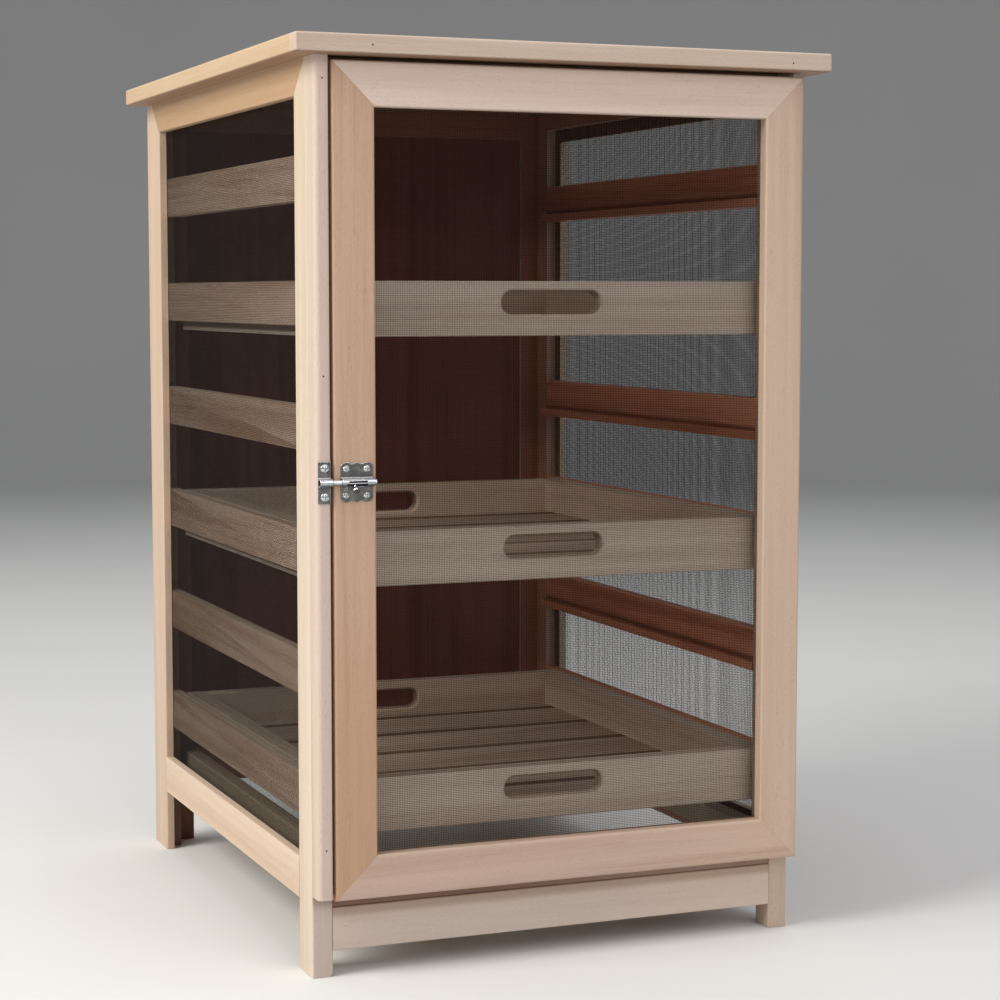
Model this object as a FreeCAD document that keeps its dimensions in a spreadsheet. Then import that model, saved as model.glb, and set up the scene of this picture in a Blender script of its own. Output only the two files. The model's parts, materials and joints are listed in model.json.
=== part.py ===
import FreeCAD, Part
import os
import math
import Sketcher

# Beech store cabinet for fruit and vegetables: two framed sides with insect
# mesh, a framed back panel, a top board with a nailed front lipping, six
# levels of L-shaped runners, three slatted trays, and one mesh door with
# butt hinges on the right and a barrel bolt on the left.
#
# Frame: +Z up, X to the right, the front faces -Y, origin under the middle
# of the top board on the floor. In the table, "y" sizes are counted from the
# front of the legs; mid_y moves them to the frame's own origin.

os.makedirs("parts", exist_ok=True)
doc = FreeCAD.newDocument("cabinet")
sheet = doc.addObject("Spreadsheet::Sheet", "dims")

SIZES = [
    ("case_width", 500.0), ("case_depth", 615.0), ("case_height", 852.0),
    ("mid_y", 295.0),
    ("top_thick", 18.0), ("over_side", 22.0), ("over_front", 36.0),
    ("over_back", 11.0), ("lipping_deep", 16.0), ("top_round", 2.5),
    # side frames
    ("frame_thick", 20.0), ("front_stile", 41.5), ("back_stile", 55.0),
    ("rail_top", 33.0), ("rail_low_base", 67.0), ("rail_low_high", 40.5),
    ("rebate_wide", 15.0), ("rebate_deep", 11.5), ("mesh_thick", 0.6),
    ("arris", 1.5),
    # back frame
    ("back_thick", 12.0), ("back_stile_wide", 22.5), ("back_rail_top", 28.0),
    ("panel_thick", 5.0), ("panel_tongue", 7.0), ("groove_play", 0.1),
    # front rails, plinth, jamb strip
    ("plinth_base", 24.5), ("plinth_high", 41.3), ("plinth_thick", 18.0),
    ("base_rail_back_set", 1.5), ("front_rail_thick", 18.0),
    ("strip_wide", 14.0), ("strip_base", 78.0), ("strip_round", 5.0),
    ("front_thick", 19.8), ("rail_seat", 0.4), ("foot_chamfer", 3.6),
    # low bearers
    ("bearer_thick", 17.0), ("bearer_high", 25.0), ("bearer_top", 110.0),
    ("bearer_out", 223.0), ("bearer_round", 2.0), ("bearer_nose", 9.0),
    # runners
    ("runner_top_level", 766.5), ("runner_pitch", 116.5),
    ("runner_high", 42.0), ("ledge_high", 9.0), ("ledge_out", 7.0),
    # trays
    ("tray_half", 228.0), ("tray_front", 6.0), ("tray_long", 540.0),
    ("tray_high", 52.0), ("tray_board", 20.0), ("tray_drop", 0.0),
    ("slot_long", 102.0), ("slot_high", 21.5), ("slot_base", 20.5),
    ("slot_corner", 10.0), ("slot_ease", 3.8),
    ("slot_off_up", 5.6), ("slot_off_low", 2.7), ("slot_off_rear", 6.0),
    ("groove_base", 9.6), ("groove_high", 9.8), ("groove_deep", 8.0),
    ("slat_base", 6.0), ("slat_thick", 8.0), ("slat_housing", 6.0),
    ("slat_wide", 86.0), ("slat_gap", 14.0), ("slat_last", 18.0),
    ("slat_play", 0.2),
    # door
    ("door_left", 233.0), ("door_base", 76.0), ("door_top", 848.0),
    ("door_thick", 17.5), ("door_gap", 2.3), ("door_member", 41.0),
    ("door_rebate", 12.0), ("door_lip", 11.9), ("door_round", 2.2),
    ("bead_play", 0.1),
    # hinges
    ("hinge_off", 3.2), ("knuckle_rad", 3.0), ("pin_rad", 1.5),
    ("pin_play", 0.06), ("leaf_thick", 1.0), ("leaf_wide", 18.0),
    ("leaf_high", 60.0), ("hinge_low", 150.0), ("hinge_up", 714.0),
    ("knuckle_end", 18.0), ("knuckle_gap", 0.3), ("leaf_edge", 0.2),
    # barrel bolt
    ("bolt_z", 466.0), ("plate_left", 226.5), ("plate_wide", 31.0),
    ("plate_high", 36.5), ("plate_sheet", 1.0), ("plate_corner", 4.6),
    ("keeper_left", 248.0), ("keeper_wide", 12.0), ("keeper_high", 38.5),
    ("rod_rad", 2.8), ("rod_off", 3.1), ("rod_left", 235.3),
    ("rod_long", 41.8), ("barrel_in", 3.1), ("barrel_out", 4.1),
    ("knob_x", 215.0), ("stem_rad", 1.5), ("stem_long", 9.0),
    ("button_rad", 3.2), ("button_long", 1.8), ("flare_long", 2.8), ("rod_shot", 5.5),
    ("rod_draw", 10.5), ("sight_long", 18.0), ("sight_high", 1.8), ("sight_low", 0.3),
    # screws
    ("screw_rad", 1.3), ("screw_head", 3.4), ("keeper_head", 4.3), ("screw_dome", 1.6),
    ("screw_long", 11.0), ("sink_head", 2.6),
]
for row, (alias, value) in enumerate(SIZES, start=1):
    sheet.set("A%d" % row, alias)
    sheet.set("B%d" % row, repr(value))
    sheet.setAlias("B%d" % row, alias)
doc.recompute()


class Q:
    """A size: its value now, and the sheet formula that gives it."""

    def __init__(self, v, t):
        self.v = float(v)
        self.t = t

    def __add__(self, o):
        o = q(o)
        return Q(self.v + o.v, "(%s + %s)" % (self.t, o.t))

    __radd__ = __add__

    def __sub__(self, o):
        o = q(o)
        return Q(self.v - o.v, "(%s - %s)" % (self.t, o.t))

    def __rsub__(self, o):
        return q(o) - self

    def __mul__(self, o):
        o = q(o)
        return Q(self.v * o.v, "(%s * %s)" % (self.t, o.t))

    __rmul__ = __mul__

    def __truediv__(self, o):
        o = q(o)
        return Q(self.v / o.v, "(%s / %s)" % (self.t, o.t))

    def __neg__(self):
        return Q(-self.v, "(0 - %s)" % self.t)


def q(x):
    if isinstance(x, Q):
        return x
    if float(x) < 0:
        return Q(x, "(0 - %r)" % abs(float(x)))
    return Q(x, repr(float(x)))


D = {alias: Q(value, "dims.%s" % alias) for alias, value in SIZES}
half = D["case_width"] / 2
mid = D["mid_y"]


def Y(size):
    return q(size) - mid


NODES = []
V = FreeCAD.Vector


def place(obj, x, y, z, rot=None):
    x, y, z = q(x), q(y), q(z)
    obj.Placement = FreeCAD.Placement(V(x.v, y.v, z.v), rot or FreeCAD.Rotation())
    obj.setExpression("Placement.Base.x", x.t)
    obj.setExpression("Placement.Base.y", y.t)
    obj.setExpression("Placement.Base.z", z.t)


def node(obj, label):
    obj.Label = label
    NODES.append(obj)
    return obj


def new_body(label):
    body = doc.addObject("PartDesign::Body", "B_" + label)
    body.AllowCompound = True
    return node(body, label)


def origin_plane(body, role):
    for feature in body.Origin.OriginFeatures:
        if feature.Role == role:
            return feature
    raise RuntimeError("no plane " + role)


def sketch_on(body, role, name, lift=None):
    sk = body.newObject("Sketcher::SketchObject", name)
    sk.AttachmentSupport = (origin_plane(body, role), [""])
    sk.MapMode = "FlatFace"
    if lift is not None:
        lift = q(lift)
        sk.AttachmentOffset = FreeCAD.Placement(V(0, 0, lift.v), FreeCAD.Rotation())
        sk.setExpression("AttachmentOffset.Base.z", lift.t)
    return sk


def fix_point(sk, geo, pos, u, v):
    """Tie one point of the sketch to the sheet."""
    for axis, val, line in (("DistanceX", u, -2), ("DistanceY", v, -1)):
        if abs(val.v) < 1e-9:
            sk.addConstraint(Sketcher.Constraint("PointOnObject", geo, pos, line))
        elif val.v > 0:
            i = sk.addConstraint(Sketcher.Constraint(axis, -1, 1, geo, pos, val.v))
            sk.setExpression("Constraints[%d]" % i, val.t)
        else:
            i = sk.addConstraint(Sketcher.Constraint(axis, geo, pos, -1, 1, -val.v))
            sk.setExpression("Constraints[%d]" % i, (-val).t)


def polygon(sk, points):
    pts = [(q(u), q(v)) for u, v in points]
    n = len(pts)
    first = sk.GeometryCount
    for i in range(n):
        a, b = pts[i], pts[(i + 1) % n]
        sk.addGeometry(Part.LineSegment(V(a[0].v, a[1].v, 0), V(b[0].v, b[1].v, 0)), False)
    for i in range(n):
        sk.addConstraint(Sketcher.Constraint("Coincident", first + i, 2, first + (i + 1) % n, 1))
    for i in range(n):
        fix_point(sk, first + i, 1, *pts[i])


def rectangle(sk, u0, v0, u1, v1):
    polygon(sk, [(u0, v0), (u1, v0), (u1, v1), (u0, v1)])


def circle(sk, u, v, rad):
    u, v, rad = q(u), q(v), q(rad)
    g = sk.addGeometry(Part.Circle(V(u.v, v.v, 0), V(0, 0, 1), rad.v), False)
    fix_point(sk, g, 3, u, v)
    i = sk.addConstraint(Sketcher.Constraint("Radius", g, rad.v))
    sk.setExpression("Constraints[%d]" % i, rad.t)


def pad(body, sk, length, name, back=False):
    f = body.newObject("PartDesign::Pad", name)
    f.Profile = sk
    f.Length = q(length).v
    f.setExpression("Length", q(length).t)
    f.Reversed = back
    sk.Visibility = False
    doc.recompute()
    return f


def pocket(body, sk, length, name):
    """Cut the sketch away, on the side where there is more material, or
    against the sketch's normal where both sides have as much."""
    before = body.Shape.Volume
    f = body.newObject("PartDesign::Pocket", name)
    f.Profile = sk
    f.Length = q(length).v
    f.setExpression("Length", q(length).t)
    doc.recompute()
    cut = before - body.Shape.Volume
    f.Reversed = True
    doc.recompute()
    other = before - body.Shape.Volume
    if cut > other - 0.5:
        f.Reversed = False
        doc.recompute()
    if max(cut, other) < 1e-3:
        raise RuntimeError("pocket cuts nothing: " + name)
    sk.Visibility = False
    return f


def lies(edge, u=None, v=None, w=None, tol=0.02):
    """True if both ends of the edge have the given x, y, z (None: any)."""
    for p in (edge.Vertexes[0].Point, edge.Vertexes[-1].Point):
        for have, want in ((p.x, u), (p.y, v), (p.z, w)):
            if want is not None and abs(have - q(want).v) > tol:
                return False
    return True


def fillet(body, rad, name, tests, kind="PartDesign::Fillet", shortest=0.0):
    base = body.Tip
    names = []
    for i, e in enumerate(base.Shape.Edges, start=1):
        if e.Length < shortest:
            continue
        if any(t(e) for t in tests):
            names.append("Edge%d" % i)
    if not names:
        raise RuntimeError("no edge found for " + name)
    f = body.newObject(kind, name)
    f.Base = (base, names)
    prop = "Radius" if kind.endswith("Fillet") else "Size"
    setattr(f, prop, q(rad).v)
    f.setExpression(prop, q(rad).t)
    doc.recompute()
    return f


def at(u=None, v=None, w=None):
    return lambda e: lies(e, u, v, w)


def board(label, x0, x1, y0, y1, z0, z1):
    """A plain board between two corners, drawn flat and padded up."""
    body = new_body(label)
    sk = sketch_on(body, "XY_Plane", "S_" + label)
    rectangle(sk, 0, 0, q(x1) - x0, q(y1) - y0)
    pad(body, sk, q(z1) - z0, "P_" + label)
    place(body, x0, y0, z0)
    return body


# ---------------------------------------------------------------- top board
top_z = D["case_height"]
tw = half + D["over_side"]
y_front = Y(-D["over_front"])
y_lip = y_front + D["lipping_deep"]
y_back = Y(D["case_depth"] + D["over_back"])
b = board("top_board", -tw, tw, y_lip, y_back, top_z, top_z + D["top_thick"])
fillet(b, D["top_round"], "F_top_board", [
    at(u=0, w=0), at(u=0, w=D["top_thick"]),
    at(u=2 * tw, w=0), at(u=2 * tw, w=D["top_thick"]),
    at(v=y_back - y_lip, w=0), at(v=y_back - y_lip, w=D["top_thick"]),
    at(u=0, v=y_back - y_lip), at(u=2 * tw, v=y_back - y_lip)])
b = board("top_front_lipping", -tw, tw, y_front, y_lip, top_z, top_z + D["top_thick"])
fillet(b, D["top_round"], "F_lipping", [
    at(v=0, w=0), at(v=0, w=D["top_thick"]), at(u=0, v=0), at(u=2 * tw, v=0),
    at(u=0, w=0), at(u=0, w=D["top_thick"]),
    at(u=2 * tw, w=0), at(u=2 * tw, w=D["top_thick"])])


# --------------------------------------------------------------- side frames
def side_piece(label, side, outline, rebates, rounds, rad=None):
    """A piece of a side frame: outline seen from the side (y, z), padded by
    its thickness, with rebates cut from the inside. side -1 left, +1 right."""
    body = new_body(label)
    sk = sketch_on(body, "YZ_Plane", "S_" + label)
    polygon(sk, outline)
    pad(body, sk, D["frame_thick"], "P_" + label)
    for i, r in enumerate(rebates):
        lift = D["frame_thick"] - D["rebate_deep"] if side < 0 else q(0)
        s2 = sketch_on(body, "YZ_Plane", "R%d_%s" % (i, label), lift)
        rectangle(s2, *r)
        f = body.newObject("PartDesign::Pocket", "K%d_%s" % (i, label))
        f.Profile = s2
        f.Length = D["rebate_deep"].v
        f.setExpression("Length", D["rebate_deep"].t)
        before = body.Shape.Volume
        f.Reversed = True
        doc.recompute()
        if before - body.Shape.Volume < 1.0:
            raise RuntimeError("rebate cuts nothing: " + label)
    if label == "left_front_stile":
        # the inner corner of this foot is cut off at 45 degrees
        fc, ft = D["foot_chamfer"], D["frame_thick"]
        s3 = sketch_on(body, "XZ_Plane", "C_" + label)
        polygon(s3, [(ft - fc - 1, -1), (ft + 1, -1), (ft + 1, fc + 1)])
        before = body.Shape.Volume
        f = body.newObject("PartDesign::Pocket", "CK_" + label)
        f.Profile = s3
        f.Type = "ThroughAll"
        f.Midplane = True
        doc.recompute()
        if before - body.Shape.Volume < 1.0:
            raise RuntimeError("the foot's corner isn't cut")
    if rounds:
        fillet(body, rad or D["arris"], "F_" + label, rounds)
    place(body, -half if side < 0 else half - D["frame_thick"], -mid, 0)
    return body


FS, BS, RT = D["front_stile"], D["back_stile"], D["rail_top"]
CD, CH = D["case_depth"], D["case_height"]
RW = D["rebate_wide"]
LB, LH = D["rail_low_base"], D["rail_low_high"]
for side, word in ((-1, "left"), (1, "right")):
    out = q(0) if side < 0 else D["frame_thick"]
    inn = D["frame_thick"] if side < 0 else q(0)
    side_piece("%s_front_stile" % word, side,
               [(0, 0), (FS, 0), (FS, CH - RT), (FS - RT, CH), (0, CH)],
               [(FS - RW, 0, FS + 1, CH)],
               [at(u=out, v=0), at(u=out, v=FS), at(u=inn, v=0)])
    side_piece("%s_back_stile" % word, side,
               [(CD - BS, 0), (CD, 0), (CD, CH), (CD - BS + RT, CH), (CD - BS, CH - RT)],
               [(CD - BS - 1, 0, CD - BS + RW, CH)],
               [at(u=out, v=CD), at(u=out, v=CD - BS)])
    side_piece("%s_top_rail" % word, side,
               [(FS, CH - RT), (CD - BS, CH - RT), (CD - BS + RT, CH), (FS - RT, CH)],
               [(FS - RT, CH - RT - 1, CD - BS + RT, CH - RT + RW)],
               [at(u=out, w=CH - RT)])
    # the low rail fills the stiles' rebates behind their lips
    body = new_body("%s_bottom_rail" % word)
    sk = sketch_on(body, "XY_Plane", "S_%s_bottom_rail" % word)
    lip = D["frame_thick"] - D["rebate_deep"]
    if side < 0:
        polygon(sk, [(0, FS), (lip, FS), (lip, FS - RW), (D["frame_thick"], FS - RW),
                     (D["frame_thick"], CD - BS + RW), (lip, CD - BS + RW),
                     (lip, CD - BS), (0, CD - BS)])
    else:
        r = D["rebate_deep"]
        polygon(sk, [(0, FS - RW), (r, FS - RW), (r, FS), (D["frame_thick"], FS),
                     (D["frame_thick"], CD - BS), (r, CD - BS),
                     (r, CD - BS + RW), (0, CD - BS + RW)])
    pad(body, sk, LH, "P_%s_bottom_rail" % word)
    s2 = sketch_on(body, "YZ_Plane", "R_%s_bottom_rail" % word,
                   lip if side < 0 else q(0))
    rectangle(s2, FS - RW - 1, LH - RW, CD - BS + RW + 1, LH + 1)
    f = body.newObject("PartDesign::Pocket", "K_%s_bottom_rail" % word)
    f.Profile = s2
    f.Length = D["rebate_deep"].v
    f.setExpression("Length", D["rebate_deep"].t)
    before = body.Shape.Volume
    f.Reversed = True
    doc.recompute()
    if before - body.Shape.Volume < 1.0:
        raise RuntimeError("low rail rebate cuts nothing")
    fillet(body, D["arris"], "F_%s_bottom_rail" % word, [at(u=out, w=LH), at(u=out, w=0)])
    place(body, -half if side < 0 else half - D["frame_thick"], -mid, LB)
    # insect mesh against the back of the rebates
    x_mesh = half - D["frame_thick"] + D["rebate_deep"]
    x0 = -x_mesh if side < 0 else x_mesh - D["mesh_thick"]
    board("%s_mesh" % word, x0, x0 + D["mesh_thick"], Y(FS - RW), Y(CD - BS + RW),
          LB + LH - RW, CH - RT + RW)


# ---------------------------------------------------------------- back frame
xi = half - D["frame_thick"]
bt, bw = D["back_thick"], D["back_stile_wide"]
gw = D["panel_thick"] + 2 * D["groove_play"]
g0 = (bt - gw) / 2
gd = D["panel_tongue"] + 1
for side, word in ((-1, "left"), (1, "right")):
    label = "back_stile_%s" % word
    body = new_body(label)
    sk = sketch_on(body, "XY_Plane", "S_" + label)
    if side < 0:
        polygon(sk, [(0, 0), (bw, 0), (bw, g0), (bw - gd, g0), (bw - gd, g0 + gw),
                     (bw, g0 + gw), (bw, bt), (0, bt)])
        place(body, -xi, Y(CD) - bt, 0)
    else:
        polygon(sk, [(0, 0), (bw, 0), (bw, bt), (0, bt), (0, g0 + gw), (gd, g0 + gw),
                     (gd, g0), (0, g0)])
        place(body, xi - bw, Y(CD) - bt, 0)
    pad(body, sk, CH, "P_" + label)
wr = 2 * (xi - bw)
brt = D["back_rail_top"]
body = new_body("back_top_rail")
sk = sketch_on(body, "YZ_Plane", "S_back_top_rail")
polygon(sk, [(0, 0), (g0, 0), (g0, gd), (g0 + gw, gd), (g0 + gw, 0), (bt, 0), (bt, brt), (0, brt)])
pad(body, sk, wr, "P_back_top_rail")
place(body, bw - xi, Y(CD) - bt, CH - brt)
body = new_body("back_bottom_rail")
sk = sketch_on(body, "YZ_Plane", "S_back_bottom_rail")
polygon(sk, [(0, 0), (bt, 0), (bt, LH), (g0 + gw, LH), (g0 + gw, LH - gd), (g0, LH - gd),
             (g0, LH), (0, LH)])
pad(body, sk, wr, "P_back_bottom_rail")
place(body, bw - xi, Y(CD) - bt, LB)
pt = D["panel_tongue"]
board("back_panel", bw - xi - pt, xi - bw + pt, Y(CD) - bt + g0 + D["groove_play"],
      Y(CD) - bt + g0 + D["groove_play"] + D["panel_thick"], LB + LH - pt, CH - brt + pt)

# ------------------------------------------- front rails, plinth, jamb strip
set_in = D["base_rail_back_set"]
board("front_top_rail", -xi, xi, Y(set_in), Y(set_in + D["front_rail_thick"]), CH - brt, CH)
base_z = D["plinth_base"] + D["plinth_high"] + D["rail_seat"]
b = board("front_base_rail", -xi, xi, Y(set_in), Y(set_in + D["front_rail_thick"]), base_z, LB + LH)
fillet(b, D["arris"], "F_base_rail", [at(v=0, w=LB + LH - base_z)])
b = board("plinth_board", -xi, xi, Y(0), Y(D["plinth_thick"]), D["plinth_base"],
          D["plinth_base"] + D["plinth_high"])
fillet(b, D["arris"], "F_plinth", [at(v=0, w=0), at(v=0, w=D["plinth_high"])])
b = board("jamb_strip", -half, D["strip_wide"] - half, Y(-D["front_thick"]), Y(0),
          D["strip_base"], CH)
fillet(b, D["strip_round"], "F_strip", [at(u=0, v=0)])
fillet(b, D["arris"], "F_strip_right", [at(u=D["strip_wide"], v=0)])

# -------------------------------------------------------------- low bearers
bx, bz = D["bearer_thick"], D["bearer_high"]
y_b0 = Y(set_in + D["front_rail_thick"])
bo = D["bearer_out"]
y_b1 = Y(CD) - bt
for side, word in ((-1, "left"), (1, "right")):
    x0 = -bo if side < 0 else bo - bx
    b = board("%s_bearer" % word, x0, x0 + bx, y_b0, y_b1, D["bearer_top"] - bz, D["bearer_top"])
    fillet(b, D["bearer_nose"], "N_%s_bearer" % word, [at(v=y_b1 - y_b0, w=bz)])
    fillet(b, D["bearer_round"], "F_%s_bearer" % word, [at(u=0, w=bz), at(u=bx, w=bz)],
           shortest=100.0)

# ------------------------------------------------------------------- runners
# One L-section each side: a board in the stiles' rebates, against the mesh,
# and a ledge on its foot that stands into the cabinet.
rt = D["rebate_deep"] - D["mesh_thick"]
rh, lh, lo = D["runner_high"], D["ledge_high"], D["ledge_out"]
run_len = CD - BS + RW - (FS - RW)
LEVELS = 6
for level in range(1, LEVELS + 1):
    label = "runner_pair_%d" % level
    body = new_body(label)
    z_low = D["runner_top_level"] - (level - 1) * D["runner_pitch"] - rh
    sk = sketch_on(body, "XZ_Plane", "S_" + label)
    polygon(sk, [(-xi - rt, 0), (lo - xi, 0), (lo - xi, lh), (-xi, lh), (-xi, rh), (-xi - rt, rh)])
    polygon(sk, [(xi - lo, 0), (xi + rt, 0), (xi + rt, rh), (xi, rh), (xi, lh), (xi - lo, lh)])
    pad(body, sk, run_len, "P_" + label, back=True)
    fillet(body, D["arris"] * 0.6, "F_" + label,
           [at(u=lo - xi, w=lh), at(u=xi - lo, w=lh), at(u=-xi, w=rh), at(u=xi, w=rh),
            at(u=lo - xi, w=0), at(u=xi - lo, w=0)])
    place(body, 0, Y(FS - RW), z_low)
    box = body.Shape.BoundBox
    if box.YMin < Y(FS - RW).v - 0.01:
        raise RuntimeError("runner points forward")

# --------------------------------------------------------------------- trays
th, tb, half_t = D["tray_high"], D["tray_board"], D["tray_half"]
tf = D["tray_front"]
ease = D["arris"]


def tray_end(label, half_wide, y0, z0, off):
    """Front or back board of a tray, with its hand slot. The slots were cut
    by hand, a few millimetres to the left of the middle."""
    body = new_body(label)
    sk = sketch_on(body, "XZ_Plane", "S_" + label)
    rectangle(sk, -half_wide, 0, half_wide, th)
    pad(body, sk, tb, "P_" + label, back=True)
    s2 = sketch_on(body, "XZ_Plane", "S2_" + label)
    sl = -D["slot_long"] / 2 - off
    sr = D["slot_long"] / 2 - off
    sb = D["slot_base"]
    st = sb + D["slot_high"]
    rectangle(s2, sl, sb, sr, st)
    pocket(body, s2, tb, "K_" + label)
    fillet(body, D["slot_corner"], "C_" + label,
           [at(u=sl, w=sb), at(u=sr, w=sb), at(u=sl, w=st), at(u=sr, w=st)])

    def in_slot(e):
        c = e.BoundBox
        flat = abs(c.YLength) < 0.01
        return (flat and c.XMin > sl.v - 0.1 and c.XMax < sr.v + 0.1
                and c.ZMin > sb.v - 0.1 and c.ZMax < st.v + 0.1)

    fillet(body, D["slot_ease"], "E_" + label, [in_slot])
    fillet(body, ease, "F_" + label,
           [at(v=0, w=th), at(v=tb, w=th), at(v=0, w=0)])
    place(body, 0, y0, z0)
    return body


def tray_side(label, side, z0):
    """Side board: a groove outside for the runner's ledge, and one inside
    that houses the slats."""
    body = new_body(label)
    sk = sketch_on(body, "XZ_Plane", "S_" + label)
    gb, gh, gdp = D["groove_base"], D["groove_high"], D["groove_deep"]
    s0 = D["slat_base"]
    s1 = s0 + D["slat_thick"] + D["slat_play"]
    hs = D["slat_housing"] + D["slat_play"]
    pts = [(0, 0), (tb, 0), (tb, s0), (tb - hs, s0), (tb - hs, s1), (tb, s1), (tb, th),
           (0, th), (0, gb + gh), (gdp, gb + gh), (gdp, gb), (0, gb)]
    if side > 0:
        pts = [(tb - u, v) for u, v in pts]
    polygon(sk, pts)
    long_side = D["tray_long"] - tb
    pad(body, sk, long_side, "P_" + label, back=True)
    fillet(body, ease, "F_" + label, [at(u=0, w=th), at(u=tb, w=th)])
    place(body, -half_t if side < 0 else half_t - tb, Y(tf + tb), z0)
    return body


for n, level in enumerate((2, 4, 6), start=1):
    z0 = D["runner_top_level"] - (level - 1) * D["runner_pitch"] - th - D["tray_drop"]
    tray_end("tray_%d_front" % n, half_t, Y(tf), z0,
             D["slot_off_up"] if n == 1 else D["slot_off_low"])
    tray_end("tray_%d_back" % n, half_t - tb, Y(tf + D["tray_long"] - tb), z0,
             D["slot_off_rear"])
    tray_side("tray_%d_side_left" % n, -1, z0)
    tray_side("tray_%d_side_right" % n, 1, z0)
    body = new_body("tray_%d_slats" % n)
    sk = sketch_on(body, "XY_Plane", "S_tray_%d_slats" % n)
    sx = half_t - tb + D["slat_housing"]
    inner = D["tray_long"] - 2 * tb
    last0 = inner - D["slat_last"]
    rectangle(sk, -sx, last0, sx, inner)
    k = 0
    while True:
        hi = last0 - D["slat_gap"] - k * (D["slat_wide"] + D["slat_gap"])
        lo_y = hi - D["slat_wide"]
        if lo_y.v > 20:
            rectangle(sk, -sx, lo_y, sx, hi)
            k += 1
            continue
        rectangle(sk, -sx, 0, sx, hi)
        break
    pad(body, sk, D["slat_thick"], "P_tray_%d_slats" % n)
    place(body, 0, Y(tf + tb), z0 + D["slat_base"] + D["slat_play"] / 2)

# ---------------------------------------------------------------------- door
dx0 = -D["door_left"]
dx1 = half
dz0, dz1 = D["door_base"], D["door_top"]
dw, dh = dx1 - dx0, dz1 - dz0
dm, dt = D["door_member"], D["door_thick"]
y_door = Y(-D["front_thick"])
rb = D["door_rebate"]


def door_piece(label, outline, rebate, rounds):
    body = new_body(label)
    sk = sketch_on(body, "XZ_Plane", "S_" + label)
    polygon(sk, outline)
    pad(body, sk, dt, "P_" + label, back=True)
    s2 = sketch_on(body, "XZ_Plane", "R_" + label, -D["door_lip"])
    rectangle(s2, *rebate)
    pocket(body, s2, dt - D["door_lip"], "K_" + label)
    # the rebate lies at the back: the lip in front of it stays whole
    u_mid, w_mid = ((rebate[0] + rebate[2]) / 2).v, ((rebate[1] + rebate[3]) / 2).v
    if (body.Shape.isInside(V(u_mid, dt.v - 0.5, w_mid), 0.01, True)
            or not body.Shape.isInside(V(u_mid, D["door_lip"].v - 0.5, w_mid), 0.01, True)):
        raise RuntimeError("rebate on the wrong side: " + label)
    fillet(body, D["door_round"], "F_" + label, rounds)
    place(body, dx0, y_door, dz0)
    return body


door_piece("door_stile_left", [(0, 0), (dm, dm), (dm, dh - dm), (0, dh)],
           (dm - rb, q(0), dm + 1, dh), [at(u=0, v=0), at(u=dm, v=0)])
door_piece("door_stile_right", [(dw, 0), (dw, dh), (dw - dm, dh - dm), (dw - dm, dm)],
           (dw - dm - 1, q(0), dw - dm + rb, dh), [at(u=dw, v=0), at(u=dw - dm, v=0)])
door_piece("door_rail_top", [(0, dh), (dm, dh - dm), (dw - dm, dh - dm), (dw, dh)],
           (q(0), dh - dm - 1, dw, dh - dm + rb), [at(v=0, w=dh), at(v=0, w=dh - dm)])
door_piece("door_rail_bottom", [(0, 0), (dw, 0), (dw - dm, dm), (dm, dm)],
           (q(0), dm - rb, dw, dm + 1), [at(v=0, w=0), at(v=0, w=dm)])
y_mesh = y_door + D["door_lip"]
m0 = dm - rb
board("door_mesh", dx0 + m0, dx1 - m0, y_mesh, y_mesh + D["mesh_thick"], dz0 + m0, dz1 - m0)
# four mitred beads hold the mesh from behind
body = new_body("door_beads")
sk = sketch_on(body, "XZ_Plane", "S_door_beads")
p = D["bead_play"]
a0, a1 = m0 + p, dm - p
bx0, bx1 = dw - m0 - p, dw - dm + p
c0, c1 = m0 + p, dm - p
e0, e1 = dh - m0 - p, dh - dm + p
polygon(sk, [(a0, c0 + p), (a1, c1 + p), (a1, e1 - p), (a0, e0 - p)])
polygon(sk, [(bx0, c0 + p), (bx0, e0 - p), (bx1, e1 - p), (bx1, c1 + p)])
polygon(sk, [(a0 + p, c0), (bx0 - p, c0), (bx1 - p, c1), (a1 + p, c1)])
polygon(sk, [(a0 + p, e0), (a1 + p, e1), (bx1 - p, e1), (bx0 - p, e0)])
bead = dt - D["door_lip"] - D["mesh_thick"]
pad(body, sk, bead, "P_door_beads", back=True)
place(body, dx0, y_mesh + D["mesh_thick"], dz0)


# ------------------------------------------------- hardware from primitives
def prim_box(name, x0, y0, z0, dx, dy, dz):
    o = doc.addObject("Part::Box", name)
    for prop, val in (("Length", dx), ("Width", dy), ("Height", dz)):
        setattr(o, prop, q(val).v)
        o.setExpression(prop, q(val).t)
    place(o, x0, y0, z0)
    return o


ALONG = {
    "z": FreeCAD.Rotation(),
    "x": FreeCAD.Rotation(V(0, 1, 0), 90),
    "y": FreeCAD.Rotation(V(1, 0, 0), -90),
    "-y": FreeCAD.Rotation(V(1, 0, 0), 90),
}


def prim_cyl(name, x, y, z, rad, length, way):
    o = doc.addObject("Part::Cylinder", name)
    for prop, val in (("Radius", rad), ("Height", length)):
        setattr(o, prop, q(val).v)
        o.setExpression(prop, q(val).t)
    place(o, x, y, z, way if isinstance(way, FreeCAD.Rotation) else ALONG[way])
    return o


def prim_cone(name, x, y, z, r1, r2, length, way):
    o = doc.addObject("Part::Cone", name)
    for prop, val in (("Radius1", r1), ("Radius2", r2), ("Height", length)):
        setattr(o, prop, q(val).v)
        o.setExpression(prop, q(val).t)
    place(o, x, y, z, way if isinstance(way, FreeCAD.Rotation) else ALONG[way])
    return o


def fuse(name, parts):
    o = doc.addObject("Part::MultiFuse", name)
    o.Shapes = parts
    doc.recompute()
    return o


def cut(name, base, tool):
    o = doc.addObject("Part::Cut", name)
    o.Base = base
    o.Tool = tool
    doc.recompute()
    return o


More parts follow.
